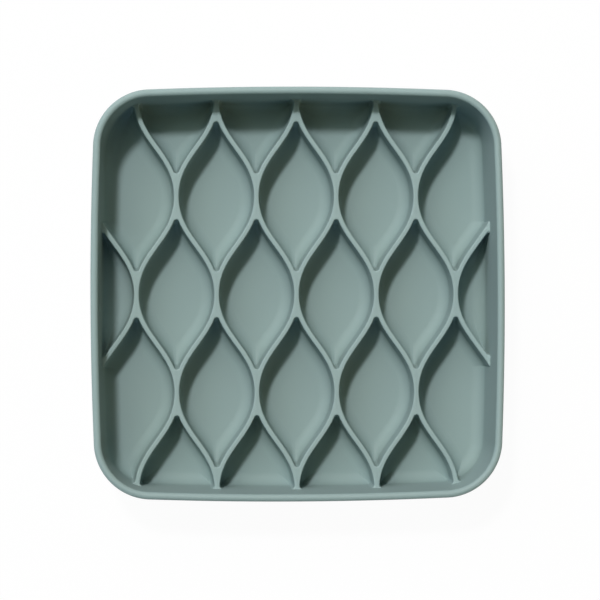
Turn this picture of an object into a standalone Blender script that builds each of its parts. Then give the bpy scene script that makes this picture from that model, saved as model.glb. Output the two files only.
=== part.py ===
"""A square slow feeder tray in soft silicone: a walled tray with a lattice of wavy ribs on its floor.

The frame is +Z up, with the origin on the table under the middle of the tray. The real tray is one moulding.
Here it is taken apart where the ribs meet the floor and where they meet each other.
"""

import math

import bmesh
import bpy

MM = 0.001

# Tray
TRAY_WIDTH = 230 * MM  # across the rim, from the middle of one side to the middle of the other
TRAY_HEIGHT = 44 * MM
CORNER_RADIUS = 32 * MM  # outside the rim, seen from above
SIDE_BOW = 1.6 * MM  # how far the middle of a side stands out past its two ends
WALL_THICKNESS = 4.2 * MM  # also the width of the fully rounded rim
WALL_DRAFT = math.radians(4.3)  # lean of the wall away from the upright, the same inside and outside
FLOOR_THICKNESS = 3.5 * MM
FLOOR_FILLET = 7.2 * MM  # hollow curve between the floor and the wall
BASE_EDGE_RADIUS = 2 * MM  # rounding under the outside of the wall

# Ribs
RIB_THICKNESS = 2.8 * MM  # at the top
RIB_HEIGHT = 20 * MM  # above the floor
RIB_TOP_EDGE = 0.6 * MM  # softened edge along the top of a rib
RIB_DRAFT = math.radians(3)  # lean of a rib's sides away from the upright
RIB_ROOT_FILLET = 6.5 * MM  # hollow curve between the floor and a rib
RIB_FOOT_EDGE = 0.6 * MM  # height above the floor at which the thin outer edge of that curve stops
BAYS_EACH_SIDE = 4  # one wave rib to a bay; an even number, so that the middle row of meetings is the widest
ROWS_EACH_SIDE = 2  # rows of meetings on each side of the middle row
SIDE_ROOM = 19.7 * MM  # between the outermost meetings and the wall, at the height of the rib tops
ROW_OVERRUN = 0.4 * MM  # how far the last row of meetings lies past the inside of the wall, at that height
WAVE_STRAIGHTENING = 0.03  # share of a third harmonic, which straightens the slanting stretches of a wave
SEAT_GAP = 0.3 * MM  # between a rib and the tray, and between two ribs that meet

# Fineness of the facets
SIDE_SEGMENTS = 6
CORNER_SEGMENTS = 10
RIM_SEGMENTS = 8
FILLET_SEGMENTS = 4
ROOT_SEGMENTS = 3
WAVE_SEGMENTS = 10  # along a rib, from one row of meetings to the next

SILICONE_COLOUR = (0.285, 0.375, 0.352, 1)
SILICONE_ROUGHNESS = 0.62


def clear_scene():
    for obj in list(bpy.data.objects):
        bpy.data.objects.remove(obj)


def silicone():
    material = bpy.data.materials.new("sage_silicone")
    material.use_nodes = True
    shader = material.node_tree.nodes["Principled BSDF"]
    shader.inputs["Base Color"].default_value = SILICONE_COLOUR
    shader.inputs["Roughness"].default_value = SILICONE_ROUGHNESS
    shader.inputs["Metallic"].default_value = 0
    return material


def object_from_sections(name, sections):
    """A closed solid lofted through sections, each a ring with the same number of points."""
    mesh = bmesh.new()
    rings = [[mesh.verts.new(point) for point in section] for section in sections]
    for lower, upper in zip(rings, rings[1:]):
        for i in range(len(lower)):
            mesh.faces.new((lower[i - 1], lower[i], upper[i], upper[i - 1]))
    mesh.faces.new(rings[0])
    mesh.faces.new(rings[-1])
    bmesh.ops.recalc_face_normals(mesh, faces=mesh.faces)
    data = bpy.data.meshes.new(name)
    mesh.to_mesh(data)
    mesh.free()
    obj = bpy.data.objects.new(name, data)
    bpy.context.scene.collection.objects.link(obj)
    return obj


def finish(obj, material, smooth_angle=math.radians(35)):
    obj.data.materials.append(material)
    obj.data.shade_smooth()
    obj.data.set_sharp_from_angle(angle=smooth_angle)


def angles(start, end, segments):
    return [start + (end - start) * i / segments for i in range(segments + 1)]


def outline(inset, height):
    """A ring of points at one height: the tray's outline, drawn in by the inset.

    It has four bowed sides and four corners, all arcs that run smoothly into each other. An inset
    shortens every radius and leaves the centres where they are.
    """
    half = TRAY_WIDTH / 2
    half_side = half - CORNER_RADIUS
    side_radius = (half_side**2 + SIDE_BOW**2) / (2 * SIDE_BOW)
    side_centre = half - side_radius
    reach = side_radius - CORNER_RADIUS
    corner_centre = (side_centre + math.sqrt(2 * reach**2 - side_centre**2)) / 2
    turn = math.atan2(corner_centre, corner_centre - side_centre)
    quarter = []
    for angle in angles(-turn, turn, SIDE_SEGMENTS):
        radius = side_radius - inset
        quarter.append((side_centre + radius * math.cos(angle), radius * math.sin(angle)))
    for angle in angles(turn, math.pi / 2 - turn, CORNER_SEGMENTS)[1:-1]:
        radius = CORNER_RADIUS - inset
        quarter.append((corner_centre + radius * math.cos(angle), corner_centre + radius * math.sin(angle)))
    ring = []
    for _ in range(4):
        ring += [(x, y, height) for x, y in quarter]
        quarter = [(-y, x) for x, y in quarter]
    return ring


def outer_wall_inset(height):
    """How far the outside of the wall is drawn in at a height, from the widest line of the rim."""
    rim = WALL_THICKNESS / 2
    touch = TRAY_HEIGHT - rim - rim * math.sin(WALL_DRAFT)
    return rim - rim * math.cos(WALL_DRAFT) + (touch - height) * math.tan(WALL_DRAFT)


def inner_wall_inset(height):
    return outer_wall_inset(height) + WALL_THICKNESS / math.cos(WALL_DRAFT)


def floor_curve(clearance=0):
    """(inset, height) points of the hollow curve at the foot of the wall, a clearance clear of the tray."""
    radius = FLOOR_FILLET - clearance
    height = FLOOR_THICKNESS + FLOOR_FILLET
    touch = height - FLOOR_FILLET * math.sin(WALL_DRAFT)
    inset = inner_wall_inset(touch) + FLOOR_FILLET * math.cos(WALL_DRAFT)
    turns = angles(WALL_DRAFT, math.pi / 2, FILLET_SEGMENTS)
    return [(inset - radius * math.cos(turn), height - radius * math.sin(turn)) for turn in turns]


def base_curve():
    """(inset, height) points of the rounding under the wall, from the flat base outwards and up."""
    touch = BASE_EDGE_RADIUS * (1 - math.sin(WALL_DRAFT))
    inset = outer_wall_inset(touch) + BASE_EDGE_RADIUS * math.cos(WALL_DRAFT)
    points = []
    for turn in angles(math.pi / 2, WALL_DRAFT, FILLET_SEGMENTS):
        height = BASE_EDGE_RADIUS * (1 - math.sin(turn))
        points.append((inset - BASE_EDGE_RADIUS * math.cos(turn), height))
    return points


def rim_curve():
    """(inset, height) points of the fully rounded rim, from the outside of the wall over to the inside."""
    rim = WALL_THICKNESS / 2
    last = math.pi - WALL_DRAFT
    turns = [turn for turn in angles(0, math.pi, RIM_SEGMENTS) if turn < last]
    turns = [-WALL_DRAFT, *turns, last]
    return [(rim - rim * math.cos(turn), TRAY_HEIGHT - rim + rim * math.sin(turn)) for turn in turns]


def tray_shell(material):
    profile = base_curve() + rim_curve() + floor_curve()
    shell = object_from_sections("tray_shell", [outline(inset, height) for inset, height in profile])
    finish(shell, material)


def room_for_ribs():
    """The space inside the tray that a rib may fill: it stays the seat gap away from floor and wall."""
    top = (inner_wall_inset(TRAY_HEIGHT) + SEAT_GAP / math.cos(WALL_DRAFT), TRAY_HEIGHT)
    profile = [top, *floor_curve(SEAT_GAP)]
    room = object_from_sections("room_for_ribs", [outline(inset, height) for inset, height in profile])
    room.hide_render = True
    room.display_type = "WIRE"
    return room


def half_room():
    """From the middle of the tray to the inside of the wall, at the height of the rib tops."""
    return TRAY_WIDTH / 2 - inner_wall_inset(FLOOR_THICKNESS + RIB_HEIGHT)


def column_pitch():
    """Between the planes where neighbouring ribs meet."""
    return (half_room() - SIDE_ROOM) / BAYS_EACH_SIDE


def row_pitch():
    """Between one row of meetings and the next."""
    return (half_room() + ROW_OVERRUN) / ROWS_EACH_SIDE


def rib_half_profile():
    """(distance from the middle of the rib, height) points of one side of a rib, from its top down.

    The side leans out, runs into the hollow root and ends at the thin edge of the root, which goes on
    down below the floor, so that the floor cuts it off.
    """
    half = RIB_THICKNESS / 2
    top = FLOOR_THICKNESS + RIB_HEIGHT
    centre_height = FLOOR_THICKNESS + RIB_ROOT_FILLET
    touch = centre_height - RIB_ROOT_FILLET * math.sin(RIB_DRAFT)
    side = half + (top - RIB_TOP_EDGE - touch) * math.tan(RIB_DRAFT)
    centre = side + RIB_ROOT_FILLET * math.cos(RIB_DRAFT)
    last = math.asin((RIB_ROOT_FILLET - RIB_FOOT_EDGE) / RIB_ROOT_FILLET)
    points = [(half - RIB_TOP_EDGE, top), (half, top - RIB_TOP_EDGE)]
    for turn in angles(RIB_DRAFT, last, ROOT_SEGMENTS):
        across = centre - RIB_ROOT_FILLET * math.cos(turn)
        points.append((across, centre_height - RIB_ROOT_FILLET * math.sin(turn)))
    points.append((points[-1][0], FLOOR_THICKNESS / 2))
    return points


def wave(rows):
    """How far a rib has crossed its bay, from 0 to 1 and back, after a number of rows."""
    swing = math.cos(math.pi * rows) - WAVE_STRAIGHTENING * math.cos(3 * math.pi * rows)
    return (1 - swing / (1 - WAVE_STRAIGHTENING)) / 2


def wave_slope(rows):
    swing = math.sin(math.pi * rows) - 3 * WAVE_STRAIGHTENING * math.sin(3 * math.pi * rows)
    return math.pi / 2 * swing / (1 - WAVE_STRAIGHTENING)


def straight_wave(rows):
    """A wave that runs straight on once it is halfway across its bay, as the ribs at the sides do."""
    past = abs(rows) - 0.5
    if past <= 0:
        return wave(rows)
    return 0.5 + past * wave_slope(0.5)


def straight_wave_slope(rows):
    return wave_slope(max(-0.5, min(0.5, rows)))


def rib_section(bay, rows, course, slope, limits):
    """The ring of a rib's section where it has run a number of rows away from the middle of the tray.

    A bay lies between two planes, a column pitch apart. The rib starts at the bay's even plane and
    swings to its odd one. The limits are the least and greatest x that the rib may fill.
    """
    even_plane = bay if bay % 2 == 0 else bay + 1
    heading = 1 if bay % 2 == 0 else -1
    middle = column_pitch() * (even_plane + heading * course(rows))
    lean = heading * slope(rows) * column_pitch() / row_pitch()
    length = math.hypot(1, lean)
    half = rib_half_profile()
    across = [(-distance, height) for distance, height in reversed(half)] + half
    ring = []
    for distance, height in across:
        x = middle + distance / length
        y = rows * row_pitch() - distance * lean / length
        ring.append((max(limits[0], min(limits[1], x)), y, height))
    return ring


def trim_to_tray(rib, room, material):
    trim = rib.modifiers.new("inside_the_tray", "BOOLEAN")
    trim.operation = "INTERSECT"
    trim.solver = "EXACT"
    trim.object = room
    finish(rib, material)


def wave_rib(name, bay, room, material):
    """A rib that snakes along one bay from wall to wall.

    It keeps clear of the planes of its bay, where its neighbours lie. The outermost ribs have a
    neighbour only near the middle row, so past that row they are whole on their outer side.
    """
    last = math.ceil(TRAY_WIDTH / 2 / row_pitch() * WAVE_SEGMENTS)
    sections = []
    for step in range(-last, last + 1):
        rows = step / WAVE_SEGMENTS
        low = bay * column_pitch() + SEAT_GAP / 2
        high = (bay + 1) * column_pitch() - SEAT_GAP / 2
        if bay == -BAYS_EACH_SIDE and abs(rows) >= 1:
            low = -TRAY_WIDTH
        if bay == BAYS_EACH_SIDE - 1 and abs(rows) >= 1:
            high = TRAY_WIDTH
        sections.append(rib_section(bay, rows, wave, wave_slope, (low, high)))
    trim_to_tray(object_from_sections(name, sections), room, material)


def side_rib(name, bay, limits, room, material):
    """A short rib that leaves the wall, touches the outermost wave rib and goes back to the wall."""
    reach = TRAY_WIDTH / 2 / column_pitch() - BAYS_EACH_SIDE
    end = 0.5 + (reach - 0.5) / wave_slope(0.5)
    count = math.ceil(end * WAVE_SEGMENTS)
    sections = []
    for step in range(-count, count + 1):
        rows = end * step / count
        sections.append(rib_section(bay, rows, straight_wave, straight_wave_slope, limits))
    trim_to_tray(object_from_sections(name, sections), room, material)


def build():
    clear_scene()
    material = silicone()
    tray_shell(material)
    room = room_for_ribs()
    for number, bay in enumerate(range(-BAYS_EACH_SIDE, BAYS_EACH_SIDE), start=1):
        wave_rib(f"wave_rib_{number}", bay, room, material)
    meeting = BAYS_EACH_SIDE * column_pitch() + SEAT_GAP / 2
    side_rib("side_rib_left", -BAYS_EACH_SIDE - 1, (-TRAY_WIDTH, -meeting), room, material)
    side_rib("side_rib_right", BAYS_EACH_SIDE, (meeting, TRAY_WIDTH), room, material)


build()
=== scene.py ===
# %% [markdown]
# # A slow feeder tray in sage green silicone
#
# The object is a low square tray from which a dog or a cat eats. Wavy ribs on its floor part the food
# into small pockets, so that the animal has to work for each mouthful and eats slowly. On the real thing
# everything is one soft moulding. The frame that is loaded here holds the same tray as eleven separate
# solids: the tray itself, eight wave ribs that run from wall to wall, and a short rib at each side.
# This lesson gives each of those solids its finished surface.

# %% Load the frame
import math

import bpy
import numpy as np
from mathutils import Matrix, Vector


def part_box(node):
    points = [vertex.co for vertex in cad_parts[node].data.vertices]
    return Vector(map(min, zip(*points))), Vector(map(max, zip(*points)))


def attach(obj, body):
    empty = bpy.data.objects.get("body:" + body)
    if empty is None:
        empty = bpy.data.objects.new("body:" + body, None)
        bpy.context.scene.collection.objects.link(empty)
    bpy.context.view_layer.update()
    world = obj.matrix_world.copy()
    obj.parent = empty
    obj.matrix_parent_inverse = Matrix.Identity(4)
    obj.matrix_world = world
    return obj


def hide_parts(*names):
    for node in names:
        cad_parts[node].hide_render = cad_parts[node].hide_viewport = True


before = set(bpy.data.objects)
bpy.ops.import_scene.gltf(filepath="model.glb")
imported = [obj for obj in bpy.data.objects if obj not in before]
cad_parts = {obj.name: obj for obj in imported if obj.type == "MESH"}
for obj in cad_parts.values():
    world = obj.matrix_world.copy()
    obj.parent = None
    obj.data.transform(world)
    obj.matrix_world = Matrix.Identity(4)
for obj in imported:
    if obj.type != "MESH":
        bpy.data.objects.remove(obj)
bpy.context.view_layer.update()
MM = 0.001
print("frame nodes:", ", ".join(sorted(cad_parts)))

# %% [markdown]
# ## Reading the sizes
#
# A finished piece has to fill the space that its solid holds, so the main sizes come from the frame. The
# width and the height are the box of the tray. The top of a rib and the floor under it come from a rib's
# box: in the frame a rib floats a small seat gap above the floor, and the real one grows out of it.
# Neighbouring ribs meet in upright planes, one column pitch apart. A few sizes can't be read from boxes,
# such as the wall's thickness and its lean, so they are named here.

# %% Sizes
SEAT_GAP = 0.3 * MM
TRAY_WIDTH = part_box("tray_shell")[1].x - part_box("tray_shell")[0].x
HALF_WIDTH = TRAY_WIDTH / 2
TRAY_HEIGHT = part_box("tray_shell")[1].z
RIB_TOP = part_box("wave_rib_4")[1].z
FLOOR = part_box("wave_rib_4")[0].z - SEAT_GAP
INNER_BAYS = 5  # from rib 2 to rib 7, which both have a neighbour on either side
COLUMN_PITCH = (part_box("wave_rib_7")[0].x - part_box("wave_rib_2")[0].x) / INNER_BAYS
BAYS_EACH_SIDE = 4
ROWS_EACH_SIDE = 2
ROW_OVERRUN = 0.4 * MM  # how far the last row of meetings lies past the inside of the wall

CORNER_RADIUS = 32 * MM
SIDE_BOW = 1.6 * MM
WALL_THICKNESS = 4.2 * MM
WALL_DRAFT = math.radians(4.3)
FLOOR_FILLET = 7.2 * MM
BASE_EDGE_RADIUS = 2 * MM
RIM_RADIUS = WALL_THICKNESS / 2
RIM_LINE = TRAY_HEIGHT - RIM_RADIUS  # height of the widest line of the rim


def outer_inset(height):
    """How far the outside of the wall lies inside the widest line of the rim."""
    touch = RIM_LINE - RIM_RADIUS * math.sin(WALL_DRAFT)
    return RIM_RADIUS * (1 - math.cos(WALL_DRAFT)) + (touch - height) * math.tan(WALL_DRAFT)


def inner_inset(height):
    """The same for the inside of the wall."""
    return outer_inset(height) + WALL_THICKNESS / math.cos(WALL_DRAFT)


HALF_ROOM = HALF_WIDTH - inner_inset(RIB_TOP)  # from the middle to the wall, level with the rib tops
ROW_PITCH = (HALF_ROOM + ROW_OVERRUN) / ROWS_EACH_SIDE
print(f"tray {TRAY_WIDTH / MM:.1f} mm wide and {TRAY_HEIGHT / MM:.1f} mm high")
print(f"floor at {FLOOR / MM:.2f} mm, rib tops at {RIB_TOP / MM:.2f} mm")
print(f"column pitch {COLUMN_PITCH / MM:.2f} mm, row pitch {ROW_PITCH / MM:.2f} mm")

# %% [markdown]
# ## The camera
#
# The tray is photographed from almost straight above with a long lens, so its sides hardly taper. The
# camera stands a little to the left of the tray's middle. That is why more of the right wall shows than
# of the left. The camera aims at a point just beside the middle, which puts the tray where it lies in the
# picture.

# %% Camera
CAMERA_PLACE = Vector((-0.0827, -0.0106, 1.600))
CAMERA_AIM = Vector((0.0031, -0.0029, 0))
CAMERA_ROLL = math.radians(-0.16)
LENS = 168.9  # in millimetres, as is the sensor
SENSOR_WIDTH = 36
NEAREST_SEEN = 0.05  # in metres
FARTHEST_SEEN = 20

camera_data = bpy.data.cameras.new("camera")
camera_data.lens = LENS
camera_data.sensor_width = SENSOR_WIDTH
camera_data.clip_start = NEAREST_SEEN
camera_data.clip_end = FARTHEST_SEEN
camera = bpy.data.objects.new("camera", camera_data)
bpy.context.scene.collection.objects.link(camera)
camera.location = CAMERA_PLACE
sight = (CAMERA_AIM - CAMERA_PLACE).normalized()
camera.rotation_euler = (math.asin(sight.y), math.atan2(sight.x, sight.z) - math.pi, CAMERA_ROLL)
bpy.context.scene.camera = camera
bpy.context.scene.view_settings.view_transform = "Standard"
print("camera turned by", [round(math.degrees(angle), 2) for angle in camera.rotation_euler], "degrees")

# %% [markdown]
# ## Small helpers for modelling
#
# Operators act on whatever is selected, so each piece starts with nothing else selected. Inside edit mode
# points, edges and faces are picked by a test, as one would click on them.

# %% Helpers
SHARP_FROM = math.radians(40)  # an edge that bends by more than this stays sharp to the eye


def enter(piece):
    """Select one piece alone and go into its edit mode."""
    if bpy.context.mode != "OBJECT":
        bpy.ops.object.mode_set(mode="OBJECT")
    bpy.ops.object.select_all(action="DESELECT")
    piece.select_set(True)
    bpy.context.view_layer.objects.active = piece
    bpy.ops.object.mode_set(mode="EDIT")


def leave():
    bpy.ops.object.mode_set(mode="OBJECT")


def pick(piece, kind, test):
    """In edit mode, select the points, edges or faces that pass a test, and nothing else."""
    bpy.ops.mesh.select_mode(type=kind)
    bpy.ops.mesh.select_all(action="DESELECT")
    leave()
    items = {"VERT": piece.data.vertices, "EDGE": piece.data.edges, "FACE": piece.data.polygons}
    for item in items[kind]:
        item.select = test(item)
    bpy.ops.object.mode_set(mode="EDIT")


def arc(centre, radius, start, end, steps):
    """(distance, height) points on a round stretch of a section, between two angles."""
    turns = np.linspace(start, end, steps + 1)
    return [(centre[0] + radius * math.cos(turn), centre[1] + radius * math.sin(turn)) for turn in turns]


def describe(piece):
    triangles = sum(len(face.vertices) - 2 for face in piece.data.polygons)
    print(f"{piece.name}: {len(piece.data.vertices)} points, {triangles} triangles")


def dress(piece, node, finish):
    """Give a piece its finish and let it stand for its solid."""
    piece.data.materials.clear()
    piece.data.materials.append(finish)
    enter(piece)
    bpy.ops.mesh.select_all(action="SELECT")
    bpy.ops.mesh.normals_make_consistent(inside=False)
    leave()
    bpy.ops.object.shade_smooth_by_angle(angle=SHARP_FROM)
    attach(piece, "root")
    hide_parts(node)
    describe(piece)


# %% [markdown]
# ## The silicone
#
# Moulded silicone is matte and a little soft to look at. Its colour is even, but not dead: pigment is
# stirred in by hand, so it drifts by a few hundredths over a few centimetres. The steel mould is blasted
# with fine grit, which leaves a skin of tiny bumps and makes the gloss vary. The rim and the tops of the
# ribs get a painted highlight: their colour is painted a shade paler for the light that these tops catch,
# and they are made a little less rough. The tray and the ribs end at different heights, so each gets its
# own copy of the finish. Shader nodes are wired here through two small classes, so that sums on their
# values read as plain Python.

# %% Shader helpers
class Wire:
    """A number on its way from one shader node to another."""

    def __init__(self, tree, socket):
        self.tree = tree
        self.socket = socket

    def sum_with(self, operation, first, second):
        return self.tree.node("ShaderNodeMath", {"operation": operation}, {0: first, 1: second})

    def __add__(self, other):
        return self.sum_with("ADD", self, other)

    __radd__ = __add__

    def __mul__(self, other):
        return self.sum_with("MULTIPLY", self, other)

    __rmul__ = __mul__

    def __sub__(self, other):
        return self.sum_with("SUBTRACT", self, other)

    def __rsub__(self, other):
        return self.sum_with("SUBTRACT", other, self)


class ShaderTree:
    """The nodes of a material or of the world, added one call at a time."""

    def __init__(self, owner):
        owner.use_nodes = True
        self.owner = owner
        self.nodes = owner.node_tree.nodes
        self.links = owner.node_tree.links

    def node(self, kind, settings, sockets, output=0):
        """Add a node, set it up, fill or link its sockets and hand back one of its outputs."""
        made = self.nodes.new(kind)
        for name, value in settings.items():
            setattr(made, name, value)
        for name, value in sockets.items():
            self.feed(made.inputs[name], value)
        return Wire(self, made.outputs[output])

    def feed(self, socket, value):
        if isinstance(value, Wire):
            self.links.new(value.socket, socket)
        else:
            socket.default_value = value

    def mix(self, factor, first, second):
        """Blend two colours."""
        colour_a, colour_b, colour_out = 6, 7, 2  # which sockets of a Mix node carry colours
        sockets = {"Factor": factor, colour_a: first, colour_b: second}
        return self.node("ShaderNodeMix", {"data_type": "RGBA"}, sockets, output=colour_out)

    def ramp(self, value, start, end):
        """A soft step from 0 at the start to 1 at the end."""
        sockets = {"Value": value, "From Min": start, "From Max": end}
        return self.node("ShaderNodeMapRange", {"interpolation_type": "SMOOTHSTEP"}, sockets)

    def height(self, coordinates):
        """How high a place is, in one of the kinds of texture coordinates."""
        place = self.node("ShaderNodeTexCoord", {}, {}, output=coordinates)
        return self.node("ShaderNodeSeparateXYZ", {}, {"Vector": place}, output="Z")

    def noise(self, size, detail):
        """A noise from 0 to 1 whose blobs are about one size across."""
        place = self.node("ShaderNodeTexCoord", {}, {}, output="Object")
        sockets = {"Vector": place, "Scale": 1 / size, "Detail": detail}
        return self.node("ShaderNodeTexNoise", {}, sockets, output="Fac")

    def background_rays(self):
        """1 for rays that show the background: to the camera, in reflections and through glass."""
        kinds = ("Is Camera Ray", "Is Glossy Ray", "Is Transmission Ray")
        return sum(self.node("ShaderNodeLightPath", {}, {}, output=kind) for kind in kinds)


# %% Sage silicone
SAGE = (0.250, 0.336, 0.326, 1)
SAGE_DEEP = (0.234, 0.318, 0.309, 1)
DRIFT_SIZE = 35 * MM  # of the blobs in which the pigment drifts
DRIFT_SHARE = 0.7  # the rest of the change in colour is mottle
MOTTLE_SIZE = 3 * MM
MOTTLE_ROUGHNESS = 0.12  # how far mottle changes the roughness
GRIT_SIZE = 0.5 * MM
GRIT_ROUGHNESS = 0.06
GRIT_HEIGHT = 0.05 * MM
GRIT_STRENGTH = 0.12
SMOOTHEST = 0.58  # roughness where mottle and grit are both at their lowest
SPECULAR = 0.36
PAINTED_HIGHLIGHT = 0.11  # painted highlight: the tops are painted lighter by this share
TOP_SMOOTHER = 0.05
HIGHLIGHT_LEAST = 0.75  # the painted highlight is patchy: it is this strong where the mottle is lowest
HIGHLIGHT_PATCHES = 0.5  # and stronger by this much where it is highest
TRAY_HIGHLIGHT_DEPTH = 2 * MM  # how far down from the rim, and from the top of a rib, the painted highlight reaches
RIB_HIGHLIGHT_DEPTH = 0.8 * MM


def sage_silicone(name, top, highlight_depth):
    """Silicone with a painted highlight: paler down to a depth under its top, and fully in the upper third
    of it.
    """
    tree = ShaderTree(bpy.data.materials.new(name))
    drift = tree.noise(DRIFT_SIZE, detail=2)
    mottle = tree.noise(MOTTLE_SIZE, detail=2)
    grit = tree.noise(GRIT_SIZE, detail=3)
    # Painted highlight: the band under the top is painted paler, and there it is also made a little less
    # rough.
    painted_highlight_band = tree.ramp(tree.height("Object"), top - highlight_depth, top - highlight_depth / 3)
    pigment = tree.mix(drift * DRIFT_SHARE + mottle * (1 - DRIFT_SHARE), SAGE_DEEP, SAGE)
    # the paler sage of the painted highlight
    highlight_colour = [channel * (1 + PAINTED_HIGHLIGHT) for channel in SAGE[:3]] + [1]
    patchy_highlight = painted_highlight_band * (HIGHLIGHT_LEAST + HIGHLIGHT_PATCHES * mottle)
    roughness = SMOOTHEST + MOTTLE_ROUGHNESS * mottle + GRIT_ROUGHNESS * grit - TOP_SMOOTHER * painted_highlight_band
    bumps = {"Height": grit, "Strength": GRIT_STRENGTH, "Distance": GRIT_HEIGHT}
    skin = tree.nodes["Principled BSDF"].inputs
    tree.feed(skin["Base Color"], tree.mix(patchy_highlight, pigment, highlight_colour))
    tree.feed(skin["Roughness"], roughness)
    tree.feed(skin["Specular IOR Level"], SPECULAR)
    tree.feed(skin["Normal"], tree.node("ShaderNodeBump", {}, bumps))
    return tree.owner


tray_silicone = sage_silicone("sage_silicone_tray", TRAY_HEIGHT, TRAY_HIGHLIGHT_DEPTH)
rib_silicone = sage_silicone("sage_silicone_ribs", RIB_TOP, RIB_HIGHLIGHT_DEPTH)
print("each silicone has", len(rib_silicone.node_tree.nodes), "nodes")

# %% [markdown]
# ## The tray's outline
#
# Seen from above the tray is a square with large round corners, and its sides bow out by a hair, as the
# sides of soft mouldings do. It starts as a plane at the widest line of the rim. The four corners are
# bevelled as vertices, which gives true arcs. The long edges that are left get more points, and those
# points are then pushed out along a shallow curve.

# %% Outline
CORNER_STEPS = 24
SIDE_CUTS = 23
half_square = HALF_WIDTH - SIDE_BOW
half_side = half_square - CORNER_RADIUS

bpy.ops.object.select_all(action="DESELECT")
bpy.ops.mesh.primitive_plane_add(size=2 * half_square)
tray = bpy.context.object
tray.name = "moulded_tray"
enter(tray)
bpy.ops.mesh.select_all(action="SELECT")
bpy.ops.transform.translate(value=(0, 0, RIM_LINE))
bpy.ops.mesh.bevel(offset=CORNER_RADIUS, segments=CORNER_STEPS, affect="VERTICES", profile=0.5)


def is_side(edge):
    first, second = (tray.data.vertices[index].co for index in edge.vertices)
    return (first - second).length > half_side


pick(tray, "EDGE", is_side)
bpy.ops.mesh.subdivide(number_cuts=SIDE_CUTS)
leave()
for point in tray.data.vertices:
    for across, along in ((0, 1), (1, 0)):
        if abs(point.co[along]) < half_side:
            swell = SIDE_BOW * (1 - (point.co[along] / half_side) ** 2)
            point.co[across] += math.copysign(swell, point.co[across])
print("outline of", len(tray.data.vertices), "points")

# %% [markdown]
# ## The tray's wall and floor
#
# The wall leans out a little, so that the tray comes out of its mould. Its rim is fully round, and a wide
# hollow curve joins it to the floor. All of that is one section, carried round the outline. The outline is
# first extruded into a thin slab. Then the slab's upper face is inset again and again: each inset draws
# the face in and moves it up or down by one step of the section, over the rim, down the wall and round
# into the floor. The lower face goes down the outside in the same way. The last inset on each face only
# frames the flat, so that the shading of the curve beside it stays off it.

# %% Wall and floor
RIM_STEPS = 16
FILLET_STEPS = 14
BASE_EDGE_STEPS = 8
FLAT_FRAME = 0.6 * MM
FLAT_NORMAL = 0.9  # a face lies flat if its normal points up or down by more than this

fillet_height = FLOOR + FLOOR_FILLET
fillet_touch = fillet_height - FLOOR_FILLET * math.sin(WALL_DRAFT)
fillet_inset = inner_inset(fillet_touch) + FLOOR_FILLET * math.cos(WALL_DRAFT)
inside = arc((RIM_RADIUS, RIM_LINE), RIM_RADIUS, math.pi, WALL_DRAFT, RIM_STEPS)
fillet_centre = (fillet_inset, fillet_height)
inside += arc(fillet_centre, FLOOR_FILLET, math.pi + WALL_DRAFT, 1.5 * math.pi, FILLET_STEPS)
inside.append((fillet_inset + FLAT_FRAME, FLOOR))

base_touch = BASE_EDGE_RADIUS * (1 - math.sin(WALL_DRAFT))
base_inset = outer_inset(base_touch) + BASE_EDGE_RADIUS * math.cos(WALL_DRAFT)
slab = RIM_RADIUS * math.sin(WALL_DRAFT)
outside = [(0, RIM_LINE - slab)]
base_centre = (base_inset, BASE_EDGE_RADIUS)
outside += arc(base_centre, BASE_EDGE_RADIUS, math.pi + WALL_DRAFT, 1.5 * math.pi, BASE_EDGE_STEPS)
outside.append((base_inset + FLAT_FRAME, 0))


def inset_along(section, facing):
    """Inset the selected face along a section; facing is 1 for a face that looks up and -1 for down."""
    for (inset, height), (next_inset, next_height) in zip(section, section[1:]):
        bpy.ops.mesh.inset(thickness=next_inset - inset, depth=facing * (next_height - height))


enter(tray)
bpy.ops.mesh.select_all(action="SELECT")
bpy.ops.mesh.extrude_region_move(TRANSFORM_OT_translate={"value": (0, 0, -slab)})
bpy.ops.mesh.select_all(action="SELECT")
bpy.ops.mesh.normals_make_consistent(inside=False)
pick(tray, "FACE", lambda face: face.normal.z > FLAT_NORMAL)
inset_along(inside, 1)
pick(tray, "FACE", lambda face: face.normal.z < -FLAT_NORMAL and face.center.z > base_touch)
inset_along(outside, -1)
leave()
dress(tray, "tray_shell", tray_silicone)

# %% [markdown]
# ## The course of a wave rib
#
# Each rib snakes up its own bay. In the middle row it touches its neighbour on one side, half a wave later
# the one on the other side, and so on, which makes the pointed oval pockets. A cosine swings too softly
# for that, so a little of its third harmonic straightens the slanting stretches. Every position along a
# rib is counted in rows, from the middle of the tray.

# %% Course of a rib
WAVE_STRAIGHTENING = 0.03
HALFWAY = 0.5  # rows after which a rib is halfway across its bay


def wave(rows):
    """How far a rib has crossed its bay, from 0 to 1 and back, after a number of rows."""
    swing = np.cos(np.pi * rows) - WAVE_STRAIGHTENING * np.cos(3 * np.pi * rows)
    return (1 - swing / (1 - WAVE_STRAIGHTENING)) / 2


def wave_slope(rows):
    """How fast a rib crosses its bay, in bays to a row."""
    swing = np.sin(np.pi * rows) - 3 * WAVE_STRAIGHTENING * np.sin(3 * np.pi * rows)
    return np.pi / 2 * swing / (1 - WAVE_STRAIGHTENING)


def side_wave(rows):
    """The wave of a side rib: from halfway across its bay it runs straight on to the wall."""
    past = np.maximum(np.abs(rows) - HALFWAY, 0)
    return wave(np.clip(rows, -HALFWAY, HALFWAY)) + past * wave_slope(HALFWAY)


def side_wave_slope(rows):
    return wave_slope(np.clip(rows, -HALFWAY, HALFWAY))


steepest = math.degrees(math.atan(wave_slope(HALFWAY) * COLUMN_PITCH / ROW_PITCH))
print(f"a rib leans {steepest:.1f} degrees at its steepest")

# %% [markdown]
# ## The section of a rib
#
# A rib is a thin upright leaf with a softly rounded top edge. Its sides lean a little, and at the foot they
# run out into the floor in a wide hollow curve, so that nothing sticks in a corner and the tray is easy to
# wash. One side of that section is a list of levels. A level is a height, and the distance from the middle
# of the rib at which the rib's side reaches that height.

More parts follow.
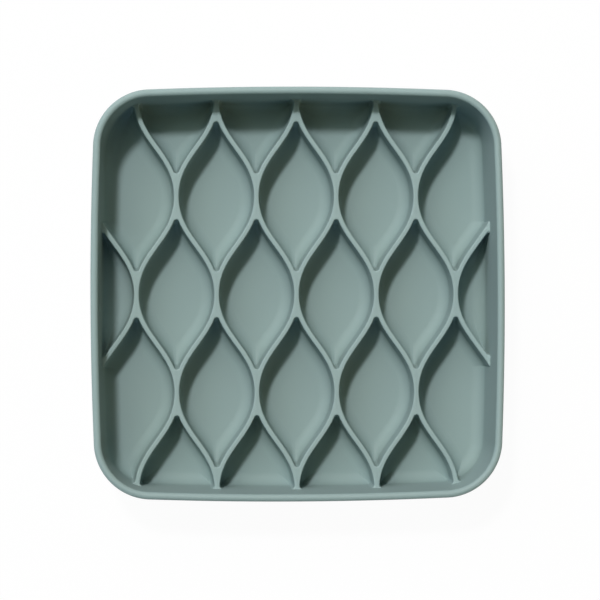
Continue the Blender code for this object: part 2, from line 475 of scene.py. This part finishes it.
# %% Section of a rib
RIB_THICKNESS = 2.8 * MM
RIB_DRAFT = math.radians(3)
RIB_TOP_EDGE = 0.8 * MM
RIB_ROOT_FILLET = 6.5 * MM
ROOT_STEPS = 14
TOP_STEPS = 8
SIDE_STEPS = 14
FOOT_DIP = 0.04 * MM  # the edge of the root lies this far under the floor, out of sight
FOOT_RUNOUT = 0.4 * MM  # and this far beyond the root's hollow curve

root_height = FLOOR + RIB_ROOT_FILLET
root_touch = root_height - RIB_ROOT_FILLET * math.sin(RIB_DRAFT)
edge_height = RIB_TOP - RIB_TOP_EDGE
edge_distance = RIB_THICKNESS / 2 - RIB_TOP_EDGE
edge_touch = edge_height + RIB_TOP_EDGE * math.sin(RIB_DRAFT)
side_top = edge_distance + RIB_TOP_EDGE * math.cos(RIB_DRAFT)
side_rise = edge_touch - root_touch
side_foot = side_top + side_rise * math.tan(RIB_DRAFT)
side_lean = side_top - side_foot
root_distance = side_foot + RIB_ROOT_FILLET * math.cos(RIB_DRAFT)

root = arc((root_distance, root_height), RIB_ROOT_FILLET, 1.5 * math.pi, math.pi + RIB_DRAFT, ROOT_STEPS)
shares = np.linspace(0, 1, SIDE_STEPS + 1)
side = [(side_foot + side_lean * share, root_touch + side_rise * share) for share in shares]
top = arc((edge_distance, edge_height), RIB_TOP_EDGE, RIB_DRAFT, math.pi / 2, TOP_STEPS)
LEVELS = [(root_distance + FOOT_RUNOUT, FLOOR - FOOT_DIP), *root, *side[1:], *top[1:]]
LEVEL_DISTANCE = np.array([distance for distance, height in LEVELS])
LEVEL_HEIGHT = np.array([height for distance, height in LEVELS])
print(len(LEVELS), "levels, foot", f"{2 * root_distance / MM:.1f} mm wide")

# %% [markdown]
# ## Where ribs meet
#
# Where two ribs part, the fork between them isn't a sharp cleft: the mould maker rounds it. Each rib is
# modelled up to the plane in which it meets its mirror image. A level of its side follows the rib until it
# comes near that plane, and there it turns into a round fork, an arc that touches both ribs. Nearer still
# the level has merged with the neighbour's, and it ends at the plane, in the crease between the two. The arc
# is wider for the levels of the top edge, so that this edge runs round the fork as narrow as it is
# elsewhere. At the wall a rib flares on both sides.

# %% Forks and flares
FORK_RADIUS = 1.3 * MM
FORK_ANGLE = math.radians(21)  # a rib leans away from the plane by this at its fork
FORK_SPREAD = math.sin(FORK_ANGLE)
WALL_FLARE = 2 * MM
FLARE_PASSES = 12  # a flare moves the side that it is worked out from, so it takes a few rounds
MEETING_OVERLAP = 0.02 * MM  # how far two ribs reach into each other where they are one
side_radius = ((HALF_WIDTH - CORNER_RADIUS) ** 2 + SIDE_BOW**2) / (2 * SIDE_BOW)

# The radius of a fork at each level, and how clear of the plane the rib's side is where the arc has its tip,
# where the middle of its circle lies, and where the arc ends.
LEVEL_ARC = FORK_RADIUS + np.maximum(side_top - LEVEL_DISTANCE, 0)
ARC_MIDDLE = LEVEL_ARC * math.hypot(1, FORK_SPREAD)
ARC_TIP = ARC_MIDDLE - LEVEL_ARC * FORK_SPREAD
ARC_END = LEVEL_ARC / math.hypot(1, FORK_SPREAD)


def from_rim(x, y):
    """How far points lie inside the tray's outline, and the directions straight out of it."""
    far = np.maximum(np.abs(x), np.abs(y))
    near = np.minimum(np.abs(x), np.abs(y))
    at_corner = near > half_side
    far_part = np.where(at_corner, far - half_side, far + side_radius - HALF_WIDTH)
    near_part = np.where(at_corner, near - half_side, near)
    length = np.hypot(far_part, near_part)
    depth = np.where(at_corner, CORNER_RADIUS, side_radius) - length
    along_x = np.abs(x) >= np.abs(y)
    out_x = np.where(along_x, far_part, near_part) / length * np.sign(x)
    out_y = np.where(along_x, near_part, far_part) / length * np.sign(y)
    return depth, out_x, out_y


def flare(x, y):
    """How much wider each level of a rib's side is because of the wall beside it."""
    gap = from_rim(x, y)[0] - inner_inset(LEVEL_HEIGHT)
    short = WALL_FLARE - np.clip(gap, 0, WALL_FLARE)
    return WALL_FLARE - np.sqrt(WALL_FLARE**2 - short**2)


def rib_side(middle, turn, y, plane, facing):
    """x and height of every level on one side of a rib, station by station.

    The plane is where the neighbour on that side begins. Facing is -1 for the left side and 1 for
    the right one.
    """
    x = middle + facing * LEVEL_DISTANCE / turn
    for _ in range(FLARE_PASSES):
        reach = LEVEL_DISTANCE + flare(x, y)
        x = middle + facing * reach / turn
    to_plane = facing * (plane - middle) * turn
    clear = to_plane - reach
    along_arc = np.clip((ARC_MIDDLE - clear) / (LEVEL_ARC * FORK_SPREAD), 0, 1)
    on_arc = LEVEL_ARC * np.sqrt(1 - along_arc**2)
    from_plane = np.where(clear > ARC_END, clear, on_arc) / turn
    merged = clear < ARC_TIP
    crease = np.interp(to_plane, (LEVEL_DISTANCE + ARC_TIP)[::-1], LEVEL_HEIGHT[::-1])
    last_merged = LEVEL_HEIGHT[merged.sum(axis=1, keepdims=True) - 1]
    height = np.where(merged, np.clip(crease, last_merged, RIB_TOP), LEVEL_HEIGHT)
    return plane - facing * np.where(merged, -MEETING_OVERLAP, from_plane), height


print("forks of", FORK_RADIUS / MM, "mm, flares of", WALL_FLARE / MM, "mm")

# %% [markdown]
# ## Modelling a rib
#
# A rib starts as a flat grid with one row of points for each station along its course, and one column for
# each level on its left side and on its right side. The stations lie closer together at the forks. The
# points move to where the course, the section, the forks and the wall put them. Levels that have merged
# with a neighbour end in one point at each station, and those points are welded. Then the border of that
# sheet is extruded down into the floor and filled, which closes the body. What would reach through the wall
# is held back inside it.

# %% Rib maker
IN_THE_WALL = 1.5 * MM  # how far a rib's end goes on into the wall
FAR_OFF = TRAY_WIDTH  # place of a plane that a rib never comes near, because it has no neighbour there
ROOT_DEPTH = 0.3 * MM  # how far a rib's body goes on under the floor
WELD = 0.001 * MM  # merged points that lie this close to each other become one
FORK_STEP = 0.12 * MM  # from station to station at a fork
STEPS_ELSEWHERE = 5  # away from the forks a station is this many steps from the next
FORK_NEAR = 11.5 * MM  # forks lie between these two distances from a row in which ribs meet
FORK_FAR = 16 * MM


def stations_to(end):
    """Places along a rib that runs from -end to end, counted from the middle row."""
    count = round(end / FORK_STEP)
    half = np.linspace(0, end, count + 1)
    from_row = np.abs(half - ROW_PITCH * np.round(half / ROW_PITCH))
    kept = (from_row > FORK_NEAR) & (from_row < FORK_FAR)
    kept[::STEPS_ELSEWHERE] = True
    kept[-1] = True
    return np.concatenate([-half[kept][:0:-1], half[kept]])


def held_in_wall(x, y, height):
    """Move what lies too deep in the wall straight back to where a rib's end may be."""
    depth, out_x, out_y = from_rim(x, y)
    too_far = np.maximum(inner_inset(height) - IN_THE_WALL - depth, 0)
    return x - too_far * out_x, y - too_far * out_y


def rib(name, node, bay, course, slope, stations, planes):
    """Model the rib of one bay from its course and the slope of that course.

    The stations are places along the rib, and the planes are where its left and right neighbours begin.
    Odd bays mirror the even ones.
    """
    heading = 1 if bay % 2 == 0 else -1
    even_plane = bay if bay % 2 == 0 else bay + 1
    y = stations[:, None]
    rows = y / ROW_PITCH
    middle = COLUMN_PITCH * (even_plane + heading * course(rows))
    turn = 1 / np.hypot(1, slope(rows) * COLUMN_PITCH / ROW_PITCH)
    left_x, left_height = rib_side(middle, turn, y, planes[0], -1)
    right_x, right_height = rib_side(middle, turn, y, planes[1], 1)
    x = np.hstack([left_x, right_x[:, ::-1]])
    height = np.hstack([left_height, right_height[:, ::-1]])
    merged = ((x < planes[0]) | (x > planes[1])).reshape(-1).tolist()
    x, y = held_in_wall(x, np.broadcast_to(y, x.shape), height)

    bpy.ops.object.select_all(action="DESELECT")
    columns, lines = x.shape[1] - 1, x.shape[0] - 1
    bpy.ops.mesh.primitive_grid_add(x_subdivisions=columns, y_subdivisions=lines, size=1)
    piece = bpy.context.object
    piece.name = name
    places = np.stack([x, y, height], axis=2).reshape(-1)
    piece.data.vertices.foreach_set("co", places.astype(np.float32))
    enter(piece)
    pick(piece, "VERT", lambda point: merged[point.index])
    bpy.ops.mesh.remove_doubles(threshold=WELD)
    bpy.ops.mesh.select_mode(type="EDGE")
    bpy.ops.mesh.select_all(action="SELECT")
    bpy.ops.mesh.region_to_loop()
    bpy.ops.mesh.extrude_edges_move(TRANSFORM_OT_translate={"value": (0, 0, -ROOT_DEPTH)})
    bpy.ops.transform.resize(value=(1, 1, 0), center_override=(0, 0, FLOOR - ROOT_DEPTH))
    bpy.ops.mesh.edge_face_add()
    leave()
    dress(piece, node, rib_silicone)


# %% [markdown]
# ## The wave ribs
#
# Eight ribs stand side by side. Each is modelled by itself, not as a copy of the first, because the sides of
# the tray bow and so each rib ends at another place. The two outermost ones have no neighbour on their outer
# side, except at the middle row, where a side rib touches them.

# %% Wave ribs
stations = stations_to(HALF_ROOM + IN_THE_WALL)
alone = np.abs(stations) >= ROW_PITCH  # where an outermost rib has no neighbour on its outer side

for number, bay in enumerate(range(-BAYS_EACH_SIDE, BAYS_EACH_SIDE), start=1):
    left_plane = np.full(len(stations), bay * COLUMN_PITCH)
    right_plane = left_plane + COLUMN_PITCH
    if bay == -BAYS_EACH_SIDE:
        left_plane[alone] = -FAR_OFF
    if bay == BAYS_EACH_SIDE - 1:
        right_plane[alone] = FAR_OFF
    planes = (left_plane[:, None], right_plane[:, None])
    rib(f"moulded_wave_rib_{number}", f"wave_rib_{number}", bay, wave, wave_slope, stations, planes)

# %% [markdown]
# ## The side ribs
#
# At each side a short rib comes out of the wall, touches the outermost wave rib in the middle row and goes
# back to the wall. It closes off a small pocket against the wall.

# %% Side ribs
side_reach = (HALF_ROOM + IN_THE_WALL) / COLUMN_PITCH - BAYS_EACH_SIDE
side_end = (HALFWAY + (side_reach - wave(HALFWAY)) / wave_slope(HALFWAY)) * ROW_PITCH
side_stations = stations_to(side_end)
meeting = BAYS_EACH_SIDE * COLUMN_PITCH
for end, bay, planes in (
    ("left", -BAYS_EACH_SIDE - 1, (-FAR_OFF, -meeting)),
    ("right", BAYS_EACH_SIDE, (meeting, FAR_OFF)),
):
    name, node = f"moulded_side_rib_{end}", f"side_rib_{end}"
    rib(name, node, bay, side_wave, side_wave_slope, side_stations, planes)

# %% [markdown]
# ## The studio
#
# The tray lies on white paper that runs on to the horizon. To the camera the paper is almost all glow, so
# that it is as white as in the picture, and the small part that isn't keeps a faint shadow of the tray.
# Reflections see the same glow. The rest of the light treats the paper as paper, which throws a soft light
# back up at the outside of the wall.

# %% Floor
PAPER_SIZE = 80
PAPER_WHITE = (0.9, 0.9, 0.9, 1)
PAPER_ROUGHNESS = 0.9
PAPER_GLOW = 0.96
PAPER_GAP = 0.2 * MM  # keeps the paper and the flat base of the tray from lying in one plane

bpy.ops.object.select_all(action="DESELECT")
bpy.ops.mesh.primitive_plane_add(size=PAPER_SIZE, location=(0, 0, -PAPER_GAP))
ground = bpy.context.object
ground.name = "ground"
paper = ShaderTree(bpy.data.materials.new("white_paper"))
paper_skin = paper.nodes["Principled BSDF"]
paper.feed(paper_skin.inputs["Base Color"], PAPER_WHITE)
paper.feed(paper_skin.inputs["Roughness"], PAPER_ROUGHNESS)
glow = paper.node("ShaderNodeEmission", {}, {"Strength": 1})
blend = {0: PAPER_GLOW * paper.background_rays(), 1: Wire(paper, paper_skin.outputs[0]), 2: glow}
paper.feed(paper.nodes["Material Output"].inputs["Surface"], paper.node("ShaderNodeMixShader", {}, blend))
ground.data.materials.append(paper.owner)
print("the paper glows at", PAPER_GLOW, "of white")

# %% [markdown]
# ## The light
#
# The shadows in the tray are crisp and fall away from the upper left. So one small strong lamp, the key,
# stands high and far off on that side, and it gives most of the light. Softer and wider lights beside it
# round off the shading of the ribs, and two weak fills from the other side, a cool one and a warm one, keep
# the shadows open. The world gives almost no light. Only rays that show the background find a white
# backdrop in it, which goes on where the paper ends and fades out a little above the horizon, as a sweep
# of paper does in a studio.

# %% Lights
WHITE = (1, 1, 1, 1)
SKY = (0.006, 0.006, 0.006, 1)  # what the world gives apart from the backdrop
SWEEP_TOP = 0.1  # the backdrop is white up to this height above the horizon, on a globe of radius 1
SWEEP_END = 0.3  # and has faded out at this one


def point_at_tray(lamp, direction):
    lamp.rotation_euler = direction.to_track_quat("Z", "Y").to_euler()


def far_light(name, direction, strength, width, colour):
    """A light so far off that it falls the same way everywhere; its width is an angle in degrees."""
    data = bpy.data.lights.new(name, "SUN")
    data.energy = strength
    data.angle = math.radians(width)
    data.color = colour
    lamp = bpy.data.objects.new(name, data)
    bpy.context.scene.collection.objects.link(lamp)
    point_at_tray(lamp, Vector(direction))


def softbox(name, direction, distance, power, size, colour):
    """A round lamp at a distance from the middle of the tray, turned to face it."""
    data = bpy.data.lights.new(name, "AREA")
    data.shape = "DISK"
    data.size = size
    data.energy = power
    data.color = colour
    lamp = bpy.data.objects.new(name, data)
    bpy.context.scene.collection.objects.link(lamp)
    lamp.location = Vector(direction).normalized() * distance
    point_at_tray(lamp, lamp.location)


softbox(
    "key", direction=(-0.235, 0.428, 0.872), distance=5.7, power=202, size=0.6, colour=(0.95, 0.95, 1)
)
softbox(
    "diffuser", direction=(-0.123, 0.696, 0.707), distance=0.6, power=0.47, size=0.5, colour=(0.90, 1, 0.96)
)
softbox(
    "cool_fill", direction=(0, -0.906, 0.423), distance=1.5, power=2.55, size=1, colour=(0.58, 0.80, 1)
)
softbox(
    "warm_fill", direction=(0.75, -0.433, 0.5), distance=1.5, power=2.5, size=1, colour=(1, 0.91, 0.58)
)
far_light(
    "cool_window", direction=(-0.671, 0.470, 0.574), strength=0.61, width=50, colour=(0.47, 0.63, 1)
)
far_light(
    "warm_window", direction=(-0.383, 0.663, 0.643), strength=0.78, width=50, colour=(1, 0.80, 0.62)
)
far_light(
    "skylight", direction=(-0.368, 0.239, 0.899), strength=0.51, width=45, colour=(0.92, 1, 0.75)
)

bpy.context.scene.world = bpy.data.worlds.new("studio")
studio = ShaderTree(bpy.context.scene.world)
backdrop = studio.background_rays() * (1 - studio.ramp(studio.height("Generated"), SWEEP_TOP, SWEEP_END))
studio.feed(studio.nodes["Background"].inputs["Color"], studio.mix(backdrop, SKY, WHITE))
print("lit by", [item.name for item in bpy.data.lights])
